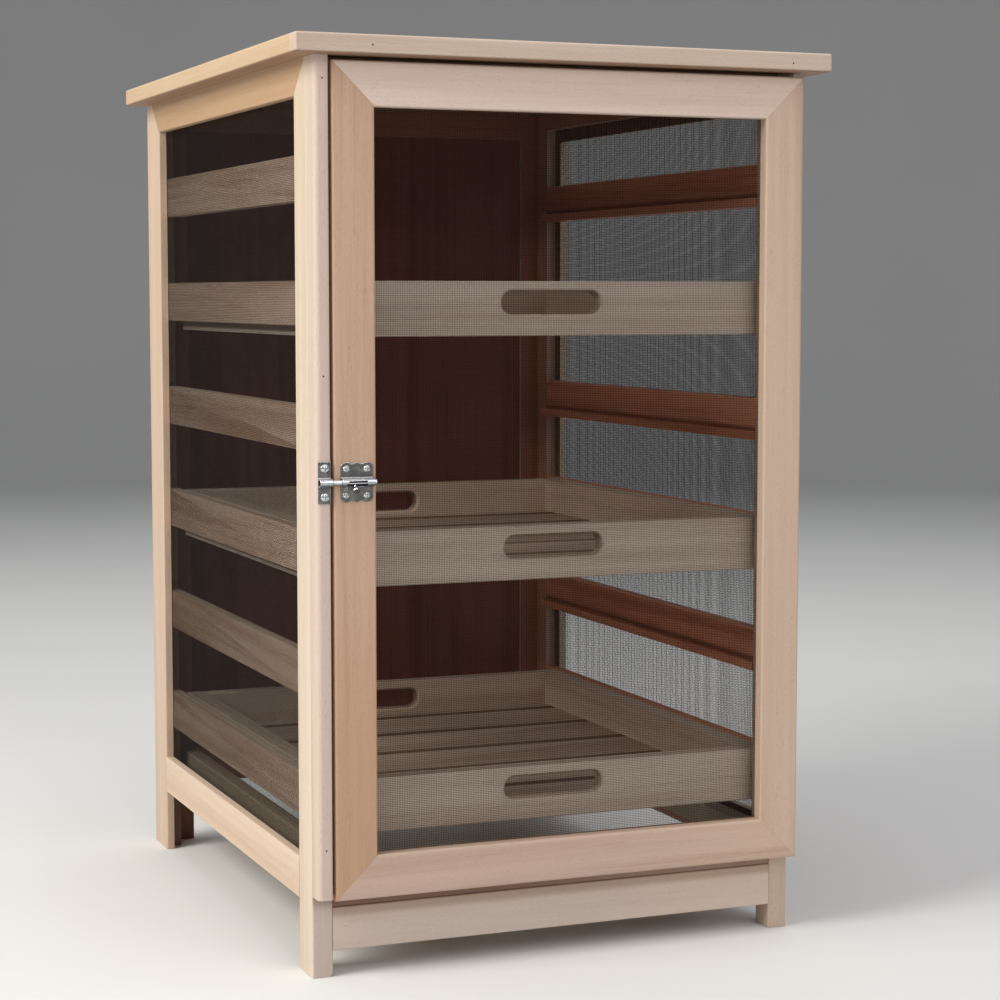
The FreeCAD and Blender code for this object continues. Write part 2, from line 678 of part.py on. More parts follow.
def group(label, parts):
    o = doc.addObject("Part::Compound", "G_" + label)
    o.Links = parts
    doc.recompute()
    return node(o, label)


# --------------------------------------------------------------------- hinges
ax = half + D["hinge_off"]
ay = Y(-D["door_gap"] / 2)
lt, lw, lhh = D["leaf_thick"], D["leaf_wide"], D["leaf_high"]
ke, kg = D["knuckle_end"], D["knuckle_gap"]
leaf_x1 = half - D["leaf_edge"]
leaf_x0 = leaf_x1 - lw
y_case_leaf = Y(0) - lt
y_door_leaf = Y(-D["door_gap"])
screw_x = (leaf_x0 + leaf_x1) / 2 - 1
carcass_leaves, door_leaves, pins = [], [], []
case_screws, door_screws = [], []
for h, zb in (("low", D["hinge_low"]), ("up", D["hinge_up"])):
    for who in ("case", "door"):
        tag = "%s_%s" % (who, h)
        y0 = y_case_leaf if who == "case" else y_door_leaf
        parts = [prim_box("leaf_" + tag, leaf_x0, y0, zb, lw, lt, lhh)]
        if who == "case":
            spans = [(q(0), ke), (lhh - ke, ke)]
        else:
            spans = [(ke + kg, lhh - 2 * ke - 2 * kg)]
        for i, (s0, sl) in enumerate(spans):
            parts.append(prim_cyl("knuckle_%s_%d" % (tag, i), ax, ay, zb + s0,
                                  D["knuckle_rad"], sl, "z"))
            parts.append(prim_box("tab_%s_%d" % (tag, i), leaf_x1 - 0.5, y0, zb + s0,
                                  q(1.9) + D["leaf_edge"], lt, sl))
        body = fuse("leaf_fuse_" + tag, parts)
        hole = D["pin_rad"] if who == "case" else D["pin_rad"] + D["pin_play"]
        tools = [prim_cyl("pinhole_" + tag, ax, ay, zb - 1, hole, lhh + 2, "z")]
        for i, dz in enumerate((10.0, 30.0, 50.0)):
            sx_pos = screw_x if i != 1 else screw_x - 3
            if who == "case":
                tools.append(prim_cone("sink_%s_%d" % (tag, i), sx_pos, y0, zb + dz,
                                       D["sink_head"], D["screw_rad"], lt, "y"))
                head = prim_cone("head_%s_%d" % (tag, i), sx_pos, y0, zb + dz,
                                 D["sink_head"], D["screw_rad"], lt, "y")
                shank = prim_cyl("shank_%s_%d" % (tag, i), sx_pos, y0 + lt, zb + dz,
                                 D["screw_rad"], D["screw_long"], "y")
                case_screws.append(fuse("screw_%s_%d" % (tag, i), [head, shank]))
            else:
                tools.append(prim_cone("sink_%s_%d" % (tag, i), sx_pos, y0 + lt, zb + dz,
                                       D["sink_head"], D["screw_rad"], lt, "-y"))
                head = prim_cone("head_%s_%d" % (tag, i), sx_pos, y0 + lt, zb + dz,
                                 D["sink_head"], D["screw_rad"], lt, "-y")
                shank = prim_cyl("shank_%s_%d" % (tag, i), sx_pos, y0, zb + dz,
                                 D["screw_rad"], D["screw_long"], "-y")
                door_screws.append(fuse("screw_%s_%d" % (tag, i), [head, shank]))
        made = cut("leaf_cut_" + tag, body, fuse("tools_" + tag, tools))
        (carcass_leaves if who == "case" else door_leaves).append(made)
    pin = prim_cyl("pin_shaft_" + h, ax, ay, zb, D["pin_rad"], lhh, "z")
    cap_a = prim_cyl("pin_cap_top_" + h, ax, ay, zb + lhh, D["pin_rad"] + 0.9, 1.0, "z")
    cap_b = prim_cyl("pin_cap_low_" + h, ax, ay, zb - 1.0, D["pin_rad"] + 0.9, 1.0, "z")
    pins.append(fuse("pin_" + h, [pin, cap_a, cap_b]))
group("hinge_leaf_carcass", carcass_leaves)
group("hinge_leaf_door", door_leaves)
group("hinge_pins", pins)
group("hinge_screws_carcass", case_screws)
group("hinge_screws_door", door_screws)

# ---------------------------------------------------------------- barrel bolt
bz = D["bolt_z"]
px0 = -D["plate_left"]
ps = D["plate_sheet"]
y_face = y_door - ps
y_rod = y_face - D["rod_off"]
ro, ri = D["barrel_out"], D["barrel_in"]
pw, ph = D["plate_wide"], D["plate_high"]

# base plate: a rectangle with rounded corners and two scallops on its upper
# and lower edges
body = doc.addObject("PartDesign::Body", "B_plate_sheet")
sk = sketch_on(body, "XZ_Plane", "S_plate")
rectangle(sk, 0, 0, pw, ph)
pad(body, sk, ps, "P_plate")
s2 = sketch_on(body, "XZ_Plane", "S2_plate")
for u in (pw / 2 - 4.6, pw / 2 + 4.6):
    circle(s2, u, ph + 3.4, 4.8)
    circle(s2, u, q(-3.4), 4.8)
before = body.Shape.Volume
f = body.newObject("PartDesign::Pocket", "K_plate")
f.Profile = s2
f.Type = "ThroughAll"
f.Midplane = True
doc.recompute()
if before - body.Shape.Volume < 1.0:
    raise RuntimeError("the scallops cut nothing")
fillet(body, D["plate_corner"], "F_plate",
       [at(u=0, w=0), at(u=pw, w=0), at(u=0, w=ph), at(u=pw, w=ph)])
place(body, px0, y_door, bz - ph / 2)


def arch(name, x0, length, r_out, r_in, y_base, z_c):
    """A bridge over the rod: round in front, straight walls to the sheet."""
    outer = fuse(name + "_out", [
        prim_cyl(name + "_co", x0, y_rod, z_c, r_out, length, "x"),
        prim_box(name + "_bo", x0, y_rod, z_c - r_out, length, y_base - y_rod, 2 * r_out)])
    inner = fuse(name + "_in", [
        prim_cyl(name + "_ci", x0 - 1, y_rod, z_c, r_in, length + 2, "x"),
        prim_box(name + "_bi", x0 - 1, y_rod, z_c - r_in, length + 2, y_base - y_rod + 0.001, 2 * r_in)])
    return cut(name, outer, inner)


barrel = arch("barrel", px0, pw, ro, ri, y_face, bz)
# travel slot for the knob's stem, 45 degrees down at the front
tilt = FreeCAD.Rotation(V(1, 0, 0), -45)
slot_box = doc.addObject("Part::Box", "knob_slot")
slot_w = 2 * D["stem_rad"] + 0.8
for prop, val in (("Length", D["rod_shot"] + D["rod_draw"] + 2 * D["stem_rad"] + 1.0), ("Width", q(8.0)), ("Height", slot_w)):
    setattr(slot_box, prop, q(val).v)
    slot_box.setExpression(prop, q(val).t)
# the box starts on the rod's axis and leans forward and down
lean = FreeCAD.Rotation(V(1, 0, 0), 45 + 180)
slot_box.Placement = FreeCAD.Placement(
    V(-D["knob_x"].v - D["rod_shot"].v - D["stem_rad"].v - 0.5,
      y_rod.v + slot_w.v / 2 * math.cos(math.radians(45)) * -1,
      bz.v + slot_w.v / 2 * math.sin(math.radians(45))), lean)
barrel = cut("barrel_slotted", barrel, slot_box)
# narrow slot along the barrel's front, through which the rod shows
sight = prim_box("sight_slot", -D["knob_x"] - D["rod_shot"], y_rod - ro - 1.0, bz - D["sight_low"],
                 D["sight_long"], ro + 1.0, D["sight_high"])
barrel = cut("barrel_sighted", barrel, sight)
hole_tools = []
BOLT_SCREWS = []
for i, (du, dv) in enumerate(((5.6, 30.3), (25.4, 30.2), (5.2, 6.4), (25.1, 6.2))):
    hole_tools.append(prim_cyl("bolt_hole_%d" % i, px0 + du, y_door + 1, bz - ph / 2 + dv,
                               D["screw_rad"], ps + 3, "-y"))
    BOLT_SCREWS.append((px0 + du, bz - ph / 2 + dv))
plate = cut("plate_drilled", fuse("plate_and_barrel", [body, barrel]),
            fuse("bolt_holes", hole_tools))
group("bolt_plate", [plate])

kx0 = -D["keeper_left"]
kw, kh = D["keeper_wide"], D["keeper_high"]
foot = (kh - 2 * ro) / 2
kb = arch("keeper_arch", kx0, kw, ro, ri + 0.1, y_face, bz)
feet = fuse("keeper_feet", [
    prim_box("keeper_low_foot", kx0, y_face, bz - kh / 2, kw, ps, foot + 1.0),
    prim_box("keeper_up_foot", kx0, y_face, bz + ro - 1.0, kw, ps, foot + 1.0)])
keeper = fuse("keeper_raw", [kb, feet])
tools = []
KEEPER_SCREWS = []
for i, dz in enumerate((-13.2, 13.0)):
    tools.append(prim_cyl("keeper_hole_%d" % i, kx0 + 6.4, y_door + 1, bz + dz,
                          D["screw_rad"], ps + 3, "-y"))
    KEEPER_SCREWS.append((kx0 + 6.4, bz + dz))
keeper = cut("keeper_drilled", keeper, fuse("keeper_holes", tools))
group("bolt_keeper", [keeper])

rod = prim_cyl("rod_shaft", -D["rod_left"], y_rod, bz, D["rod_rad"], D["rod_long"], "x")
lean_down = FreeCAD.Rotation(V(1, 0, 0), 135)
stem = prim_cyl("knob_stem", -D["knob_x"], y_rod, bz, D["stem_rad"], D["stem_long"], lean_down)
c45 = math.cos(math.radians(45))
flare_at = D["stem_long"] - D["flare_long"]
flare = prim_cone("knob_flare", -D["knob_x"], y_rod - flare_at * c45, bz - flare_at * c45,
                  D["stem_rad"], D["button_rad"], D["flare_long"], lean_down)
button = prim_cyl("knob_button", -D["knob_x"], y_rod - D["stem_long"] * c45,
                  bz - D["stem_long"] * c45, D["button_rad"], D["button_long"], lean_down)
group("bolt_rod", [fuse("rod_and_knob", [rod, stem, flare, button])])


def screw_group(label, spots, y_seat, head_rad):
    """Pan-head screws with a cross recess."""
    out = []
    arm = head_rad * 1.15
    wide = q(0.9)
    for i, (sx_, sz_) in enumerate(spots):
        tag = "%s_%d" % (label, i)
        shank = prim_cyl("sh_" + tag, sx_, y_seat + D["screw_long"], sz_, D["screw_rad"],
                         D["screw_long"], "-y")
        dome = doc.addObject("Part::Sphere", "dm_" + tag)
        rad = (head_rad * head_rad + D["screw_dome"] * D["screw_dome"]) / (2 * D["screw_dome"])
        dome.Radius = rad.v
        dome.setExpression("Radius", rad.t)
        place(dome, sx_, y_seat - D["screw_dome"] + rad, sz_)
        keep = prim_cyl("kp_" + tag, sx_, y_seat, sz_, head_rad, D["screw_dome"] + 0.5, "-y")
        head = doc.addObject("Part::Common", "hd_" + tag)
        head.Base = dome
        head.Tool = keep
        doc.recompute()
        made = fuse("fz_" + tag, [head, shank])
        # cross recess
        a = prim_box("ca_" + tag, sx_ - arm / 2, y_seat - D["screw_dome"] - 0.1, sz_ - wide / 2,
                     arm, 1.2, wide)
        b_ = prim_box("cb_" + tag, sx_ - wide / 2, y_seat - D["screw_dome"] - 0.1, sz_ - arm / 2,
                      wide, 1.2, arm)
        c_ = prim_cyl("cd_" + tag, sx_, y_seat - D["screw_dome"] + 1.1, sz_, q(0.85), 1.3, "-y")
        out.append(cut("ct_" + tag, made, fuse("cc_" + tag, [a, b_, c_])))
    group(label, out)


screw_group("bolt_screws", BOLT_SCREWS, y_face, D["screw_head"])
screw_group("keeper_screws", KEEPER_SCREWS, y_face, D["keeper_head"])

# -------------------------------------------------------------- check, write
doc.recompute()
bad = []
for o in doc.Objects:
    if any(s in ("Invalid", "Error") for s in o.State):
        bad.append("%s %s" % (o.Label, o.State))
for o in NODES:
    if o.Shape.isNull() or not o.Shape.isValid() or not o.Shape.Solids:
        bad.append("bad shape " + o.Label)
if bad:
    raise RuntimeError("; ".join(bad))
labels = [o.Label for o in NODES]
if len(set(labels)) != len(labels) or len(labels) > 60:
    raise RuntimeError("%d labels, %d different" % (len(labels), len(set(labels))))
for old in os.listdir("parts"):
    if old.endswith(".step"):
        os.remove(os.path.join("parts", old))
for o in NODES:
    o.Shape.exportStep("parts/%s.step" % o.Label)
box = FreeCAD.BoundBox()
for o in NODES:
    box.add(o.Shape.BoundBox)
print("%d nodes, %d solids" % (len(NODES), sum(len(o.Shape.Solids) for o in NODES)))
print("box", [round(v, 2) for v in (box.XMin, box.XMax, box.YMin, box.YMax, box.ZMin, box.ZMax)])
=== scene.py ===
import json
import math

import bpy
import bmesh
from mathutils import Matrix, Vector


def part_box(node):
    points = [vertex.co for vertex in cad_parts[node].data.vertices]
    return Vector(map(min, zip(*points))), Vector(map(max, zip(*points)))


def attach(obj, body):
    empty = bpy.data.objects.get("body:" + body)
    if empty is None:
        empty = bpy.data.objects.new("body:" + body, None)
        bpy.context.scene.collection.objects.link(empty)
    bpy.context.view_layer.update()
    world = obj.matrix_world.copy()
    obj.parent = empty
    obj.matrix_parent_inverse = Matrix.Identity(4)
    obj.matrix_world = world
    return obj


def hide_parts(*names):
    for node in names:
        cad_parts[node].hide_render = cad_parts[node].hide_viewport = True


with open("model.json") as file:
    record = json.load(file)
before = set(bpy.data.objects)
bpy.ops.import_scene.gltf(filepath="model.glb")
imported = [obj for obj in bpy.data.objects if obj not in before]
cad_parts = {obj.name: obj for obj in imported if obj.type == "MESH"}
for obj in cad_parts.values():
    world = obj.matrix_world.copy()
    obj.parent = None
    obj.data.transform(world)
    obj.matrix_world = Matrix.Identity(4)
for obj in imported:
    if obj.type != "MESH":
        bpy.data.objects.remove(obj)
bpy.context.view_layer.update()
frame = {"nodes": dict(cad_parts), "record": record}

NODES = frame["nodes"]
BODY_OF = {n: b for b, ns in frame["record"]["behaviour"]["bodies"].items() for n in ns}


# ------------------------------------------------------------ shader helpers
class Net:
    """Short names for building a material's node tree."""

    def __init__(self, name):
        self.mat = bpy.data.materials.new(name)
        self.mat.use_nodes = True
        self.nt = self.mat.node_tree
        self.nt.nodes.clear()
        self.out = self.node("ShaderNodeOutputMaterial")
        self.bsdf = self.node("ShaderNodeBsdfPrincipled")
        self.link(self.bsdf.outputs[0], self.out.inputs[0])

    def node(self, kind, **props):
        n = self.nt.nodes.new(kind)
        for k, v in props.items():
            setattr(n, k, v)
        return n

    def link(self, a, b):
        self.nt.links.new(a, b)

    def put(self, socket, value):
        if isinstance(value, bpy.types.NodeSocket):
            self.link(value, socket)
        else:
            socket.default_value = value

    def math(self, op, a, b=0.0, c=0.0, clamp=False):
        n = self.node("ShaderNodeMath", operation=op, use_clamp=clamp)
        self.put(n.inputs[0], a)
        self.put(n.inputs[1], b)
        self.put(n.inputs[2], c)
        return n.outputs[0]

    def vec(self, op, a, b=(0, 0, 0)):
        n = self.node("ShaderNodeVectorMath", operation=op)
        self.put(n.inputs[0], a)
        self.put(n.inputs[1], b)
        return n.outputs["Value"] if op in ("DOT_PRODUCT", "LENGTH") else n.outputs[0]

    def noise(self, vector, scale=1.0, detail=2.0, rough=0.5, distortion=0.0):
        n = self.node("ShaderNodeTexNoise")
        self.put(n.inputs["Vector"], vector)
        n.inputs["Scale"].default_value = scale
        n.inputs["Detail"].default_value = detail
        n.inputs["Roughness"].default_value = rough
        n.inputs["Distortion"].default_value = distortion
        return n.outputs["Fac"]

    def ramp(self, fac, stops):
        n = self.node("ShaderNodeValToRGB")
        self.put(n.inputs[0], fac)
        e = n.color_ramp.elements
        while len(e) < len(stops):
            e.new(0.5)
        for el, (pos, col) in zip(e, stops):
            el.position = pos
            el.color = (*col, 1) if len(col) == 3 else col
        return n.outputs[0]

    def remap(self, value, a, b, c, d, smooth=False):
        n = self.node("ShaderNodeMapRange")
        if smooth:
            n.interpolation_type = "SMOOTHSTEP"
        self.put(n.inputs[0], value)
        for i, v in enumerate((a, b, c, d), start=1):
            self.put(n.inputs[i], v)
        return n.outputs[0]

    def mix(self, fac, a, b, mode="MIX"):
        n = self.node("ShaderNodeMix", data_type="RGBA", blend_type=mode)
        self.put(n.inputs[0], fac)
        self.put(n.inputs[6], a if isinstance(a, bpy.types.NodeSocket) else (*a, 1))
        self.put(n.inputs[7], b if isinstance(b, bpy.types.NodeSocket) else (*b, 1))
        return n.outputs[2]


def scaled(rgb, k):
    return tuple(min(1.0, max(0.0, c * k)) for c in rgb)


# ---------------------------------------------------------------------- wood
AXES = {"X": ("Y", "Z", "X"), "Y": ("X", "Z", "Y"), "Z": ("X", "Y", "Z")}


def grain_space(net, axis, seed):
    """Object coordinates as (across, across, along the grain), moved so that
    each board is cut from another place in the tree."""
    tc = net.node("ShaderNodeTexCoord")
    sep = net.node("ShaderNodeSeparateXYZ")
    net.link(tc.outputs["Object"], sep.inputs[0])
    com = net.node("ShaderNodeCombineXYZ")
    for i, a in enumerate(AXES[axis]):
        net.link(sep.outputs[a], com.inputs[i])
    off = (0.37 * seed + 0.11, -0.53 * seed + 0.07, 1.91 * seed)
    return net.vec("ADD", com.outputs[0], off), sep


def wood(name, axis, light, dark, seed, contrast=1.0, gloss=0.5, flecks=1.0,
         islands=0.0, staves=None, streaks=1.0, two_way=None, edge=1.0,
         tints=()):
    net = Net(name)
    v, sep = grain_space(net, axis, seed)
    if two_way:
        # a frame of beads in one piece list: rails run across, stiles run up
        w, _ = grain_space(net, "X", seed + 3)
        z0, z1 = two_way
        low = net.math("LESS_THAN", sep.outputs["Z"], z0)
        high = net.math("GREATER_THAN", sep.outputs["Z"], z1)
        sel = net.math("MAXIMUM", low, high)
        m = net.node("ShaderNodeMix", data_type="VECTOR")
        net.put(m.inputs[0], sel)
        net.put(m.inputs[4], v)
        net.put(m.inputs[5], w)
        v = m.outputs[1]
    extra = None
    if islands:
        geo = net.node("ShaderNodeNewGeometry")
        extra = geo.outputs["Random Per Island"]
        com = net.node("ShaderNodeCombineXYZ")
        net.link(net.math("MULTIPLY", extra, 3.7), com.inputs[0])
        net.link(net.math("MULTIPLY", extra, 5.3), com.inputs[2])
        v = net.vec("ADD", v, com.outputs[0])
    stave_tone = None
    if staves:
        # edge-glued staves: each has its own tone and its own stretch of grain
        s2 = net.node("ShaderNodeSeparateXYZ")
        net.link(v, s2.inputs[0])
        cell = net.math("FLOOR", net.math("DIVIDE", s2.outputs[0], staves))
        wn = net.node("ShaderNodeTexWhiteNoise", noise_dimensions="1D")
        net.link(cell, wn.inputs["W"])
        stave_tone = wn.outputs["Value"]
        com = net.node("ShaderNodeCombineXYZ")
        net.link(net.math("MULTIPLY", stave_tone, 2.3), com.inputs[1])
        net.link(net.math("MULTIPLY", stave_tone, 7.9), com.inputs[2])
        v = net.vec("ADD", v, com.outputs[0])
    # slow bend of the grain, so that the lines are never ruler straight
    bend = net.noise(net.vec("MULTIPLY", v, (5, 5, 1.6)), 1.0, 1.0)
    bent = net.math("MULTIPLY", net.math("SUBTRACT", bend, 0.5), 0.010 * contrast)
    com = net.node("ShaderNodeCombineXYZ")
    net.link(bent, com.inputs[0])
    net.link(bent, com.inputs[1])
    v = net.vec("ADD", v, com.outputs[0])
    broad = net.noise(net.vec("MULTIPLY", v, (14, 14, 1.1)), 1.0, 3.0, 0.55)
    rings = net.noise(net.vec("MULTIPLY", v, (95, 70, 1.8)), 1.0, 4.0, 0.6)
    fibre = net.noise(net.vec("MULTIPLY", v, (900, 900, 16)), 1.0, 3.0, 0.6)
    fine = net.noise(net.vec("MULTIPLY", v, (2600, 2600, 60)), 1.0, 1.0, 0.5)
    # medullary flecks: short dark dashes along the grain
    dash = net.noise(net.vec("MULTIPLY", v, (1900, 1900, 260)), 1.0, 0.0)
    patch = net.noise(net.vec("MULTIPLY", v, (60, 60, 22)), 1.0, 1.0)
    dash_mask = net.math("MULTIPLY", net.remap(dash, 0.66, 0.75, 0.0, 1.0, True),
                         net.remap(patch, 0.35, 0.65, 0.55, 1.0, True))
    # dark growth streaks, few and long
    streak = net.noise(net.vec("MULTIPLY", v, (34, 34, 0.55)), 1.0, 2.0, 0.4)
    streak_mask = net.remap(streak, 0.57, 0.72, 0.0, 1.0, True)
    tone = net.math("MULTIPLY", net.math("SUBTRACT", broad, 0.5), 0.95 * contrast)
    tone = net.math("ADD", tone, net.math("MULTIPLY", net.math("SUBTRACT", rings, 0.5), 1.05 * contrast))
    tone = net.math("ADD", tone, net.math("MULTIPLY", net.math("SUBTRACT", fibre, 0.5), 0.55 * contrast))
    tone = net.math("ADD", tone, net.math("MULTIPLY", net.math("SUBTRACT", fine, 0.5), 0.25 * contrast))
    tone = net.math("ADD", tone, 0.42)
    if stave_tone is not None:
        tone = net.math("ADD", tone, net.math("MULTIPLY", net.math("SUBTRACT", stave_tone, 0.5), 0.42))
    if extra is not None:
        tone = net.math("ADD", tone, net.math("MULTIPLY", net.math("SUBTRACT", extra, 0.5), islands))
    mid = tuple((a + b) / 2 for a, b in zip(light, dark))
    colour = net.ramp(tone, [(0.0, scaled(light, 1.06)), (0.35, light), (0.68, mid), (1.0, dark)])
    warm = (dark[0] * 0.92, dark[1] * 0.80, dark[2] * 0.66)
    colour = net.mix(net.math("MULTIPLY", streak_mask, 0.34 * streaks), colour, warm)
    fleck = (dark[0] * 0.60, dark[1] * 0.46, dark[2] * 0.36)
    colour = net.mix(net.math("MULTIPLY", dash_mask, 0.27 * flecks), colour, fleck)
    if tints:
        # parts of a board with another tone, most of them painted light and shade: faces that look into
        # the cabinet are painted dark and red as shade, undersides are painted darker as shade
        tcn = net.node("ShaderNodeTexCoord")
        ns = net.node("ShaderNodeSeparateXYZ")
        net.link(tcn.outputs["Normal"], ns.inputs[0])
        uneven = net.remap(broad, 0.3, 0.7, 0.88, 1.0)
        for where, tint in tints:
            mask = uneven
            for kind, letter, lo, hi in where:
                src = ns.outputs[letter] if kind == "facing" else sep.outputs[letter]
                mask = net.math("MULTIPLY", mask, net.remap(src, lo, hi, 0.0, 1.0, True))
            colour = net.mix(mask, colour, net.mix(1.0, colour, tint, "MULTIPLY"))
    # eased arrises: the normal turns over the edge and the wood is a little
    # rubbed there
    bevel = net.node("ShaderNodeBevel", samples=4)
    bevel.inputs["Radius"].default_value = 0.0005
    geo = net.node("ShaderNodeNewGeometry")
    turn = net.math("SUBTRACT", 1.0, net.vec("DOT_PRODUCT", bevel.outputs[0], geo.outputs["Normal"]))
    wear_and_painted_light = net.math("MULTIPLY", net.remap(turn, 0.02, 0.22, 0.0, 1.0, True),
                   net.remap(rings, 0.35, 0.65, 0.6, 1.0))
    colour = net.mix(net.math("MULTIPLY", wear_and_painted_light, 0.42 * edge), colour, warm)
    net.link(colour, net.bsdf.inputs["Base Color"])
    rough = net.math("ADD", net.math("MULTIPLY", net.math("SUBTRACT", rings, 0.5), 0.20), gloss)
    rough = net.math("ADD", rough, net.math("MULTIPLY", dash_mask, 0.12), clamp=True)
    net.link(rough, net.bsdf.inputs["Roughness"])
    net.bsdf.inputs["Specular IOR Level"].default_value = 0.35
    height = net.math("ADD", net.math("MULTIPLY", fibre, 0.7), net.math("MULTIPLY", fine, 0.3))
    height = net.math("SUBTRACT", height, net.math("MULTIPLY", dash_mask, 0.6))
    bump = net.node("ShaderNodeBump")
    bump.inputs["Strength"].default_value = 0.35
    bump.inputs["Distance"].default_value = 0.00012
    net.link(height, bump.inputs["Height"])
    net.link(bevel.outputs[0], bump.inputs["Normal"])
    net.link(bump.outputs[0], net.bsdf.inputs["Normal"])
    return net.mat


# tones of the outer boards, the inner boards and the back panel
PALE = (0.665, 0.520, 0.385)
PALE_D = (0.500, 0.350, 0.230)
PINK = (0.640, 0.495, 0.405)
PINK_D = (0.490, 0.340, 0.255)
TAN = (0.575, 0.390, 0.275)
TAN_D = (0.420, 0.260, 0.165)
IN = (0.690, 0.575, 0.465)
IN_D = (0.470, 0.350, 0.258)
# painted light: the runners' tone is made paler to stand in for the light that comes through the side
# screens
RUN = (0.880, 0.700, 0.560)
RUN_D = (0.540, 0.360, 0.250)
# the back panel's own warm red tone, made very dark as painted shade for the inside of the cabinet
RED = (0.235, 0.072, 0.048)
RED_D = (0.115, 0.030, 0.019)

# painted shade: faces that look into the cabinet are darkened and reddened for the shade inside it
INSIDE_SHADE = (0.66, 0.38, 0.28)
INTO_LEFT = {"tints": (((("facing", "X", -0.3, -0.7), ("at", "Z", 0.064, 0.072)), INSIDE_SHADE),)}
INTO_RIGHT = {"tints": (((("facing", "X", 0.3, 0.7), ("at", "Z", 0.064, 0.072)), INSIDE_SHADE),)}
# painted shade: the back frame's front faces are darker still at the feet, in the shade under the cabinet
INTO_FRONT = {"tints": (((("facing", "Y", -0.3, -0.7),), INSIDE_SHADE),
                        ((("facing", "Y", -0.3, -0.7), ("at", "Z", 0.075, 0.060)), (0.38, 0.36, 0.38)))}
INTO_BACK = {"tints": (((("facing", "Y", 0.3, 0.7),), INSIDE_SHADE),)}
# painted shade: faces that look down are darkened
UNDER = {"tints": (((("facing", "Z", -0.15, -0.75),), (0.47, 0.35, 0.27)),)}
# painted shadow on the front of the left front leg's foot, below the jamb strip
FOOT = ((("facing", "Y", -0.3, -0.7), ("at", "Z", 0.090, 0.074)), (0.80, 0.80, 0.90))
FOOT_TOP = ((("facing", "Y", -0.3, -0.7), ("at", "Z", 0.062, 0.077)), (0.66, 0.60, 0.54))
# the rebate runs down the back legs, where no light comes
REBATE = ((("facing", "Y", -0.3, -0.7), ("at", "X", -0.2425, -0.2410), ("at", "Z", 0.075, 0.060)),
          (0.22, 0.15, 0.13))

BOARDS = {
    "top_board": ("Y", (0.645, 0.532, 0.390), PALE_D,
                  {"staves": 0.068, "tints": UNDER["tints"] + (
                      # painted shade on the board's two end faces
                      ((("facing", "X", -0.3, -0.7),), (0.925, 0.83, 0.76)),
                      ((("facing", "X", 0.3, 0.7),), (0.925, 0.83, 0.76)))}),
    "top_front_lipping": ("X", (0.630, 0.515, 0.412), PINK_D, UNDER),
    "left_front_stile": ("Z", (0.665, 0.560, 0.440), (0.520, 0.395, 0.280),
                         {"tints": INTO_RIGHT["tints"] + (FOOT, FOOT_TOP)}),
    "left_back_stile": ("Z", (0.625, 0.470, 0.360), PALE_D,
                        {"tints": INTO_RIGHT["tints"] + (REBATE,)}),
    # the rail's own oranger tone, darkened further as painted shade under the top's overhang
    "left_top_rail": ("Y", (0.480, 0.315, 0.190), (0.350, 0.205, 0.110), {"contrast": 1.3, **INTO_RIGHT}),
    "left_bottom_rail": ("Y", (0.730, 0.570, 0.440), (0.560, 0.400, 0.280), INTO_RIGHT),
    "right_front_stile": ("Z", (0.620, 0.490, 0.380), PINK_D, {"tints": INTO_LEFT["tints"] + (
        # painted shade: the foot's front is darker near the floor
        ((("facing", "Y", -0.3, -0.7), ("at", "Z", 0.075, 0.068)), (0.88, 0.89, 0.89)),)}),
    "right_back_stile": ("Z", PALE, PALE_D, INTO_LEFT),
    "right_top_rail": ("Y", PALE, PALE_D, INTO_LEFT),
    "right_bottom_rail": ("Y", PALE, PALE_D, INTO_LEFT),
    "back_stile_left": ("Z", TAN, TAN_D, INTO_FRONT),
    "back_stile_right": ("Z", TAN, TAN_D, INTO_FRONT),
    "back_top_rail": ("X", TAN, TAN_D, INTO_FRONT),
    "back_bottom_rail": ("X", TAN, TAN_D, INTO_FRONT),
    "back_panel": ("Z", RED, RED_D, {"flecks": 0.4, "contrast": 1.3, "gloss": 0.45}),
    "front_top_rail": ("X", TAN, TAN_D, INTO_BACK),
    # painted shade: the base rail is dark for the door's shadow, darker still towards the left
    "front_base_rail": ("X", (0.44, 0.310, 0.250), (0.30, 0.190, 0.145),
                        {"tints": (((("at", "X", 0.16, -0.10),), (0.66, 0.53, 0.50)),)}),
    # painted light and shade: paler towards the right, darker along the top in the door's shadow
    "plinth_board": ("X", (0.612, 0.513, 0.438), (0.494, 0.393, 0.323),
                     {"contrast": 0.8, "tints": (
                         ((("at", "X", 0.0, 0.20),), (1.11, 1.09, 1.06)),
                         ((("at", "Z", 0.0540, 0.0610),), (0.73, 0.65, 0.575)))}),
    "jamb_strip": ("Z", (0.650, 0.520, 0.445), (0.500, 0.365, 0.290), {"contrast": 0.7}),
    "left_bearer": ("Y", (0.52, 0.43, 0.31), IN_D, {}),
    "right_bearer": ("Y", (0.52, 0.43, 0.31), IN_D, {}),
    # painted shade: the stile is darker towards the bottom
    "door_stile_left": ("Z", TAN, TAN_D, {"contrast": 1.1,
                                          "tints": (((("at", "Z", 0.42, 0.20),), (0.90, 0.83, 0.74)),)}),
    "door_stile_right": ("Z", (0.610, 0.455, 0.345), (0.460, 0.310, 0.215), {}),
    "door_rail_top": ("X", (0.770, 0.620, 0.522), (0.600, 0.445, 0.350), {"contrast": 0.8}),
    "door_rail_bottom": ("X", (0.545, 0.395, 0.315), (0.385, 0.245, 0.180),
                         {"contrast": 1.4, "tints": (((("at", "X", 0.02, 0.22),), (1.10, 1.11, 1.07)),)}),
    "door_beads": ("Z", TAN, TAN_D, {"two_way": (0.1165, 0.807)}),
}
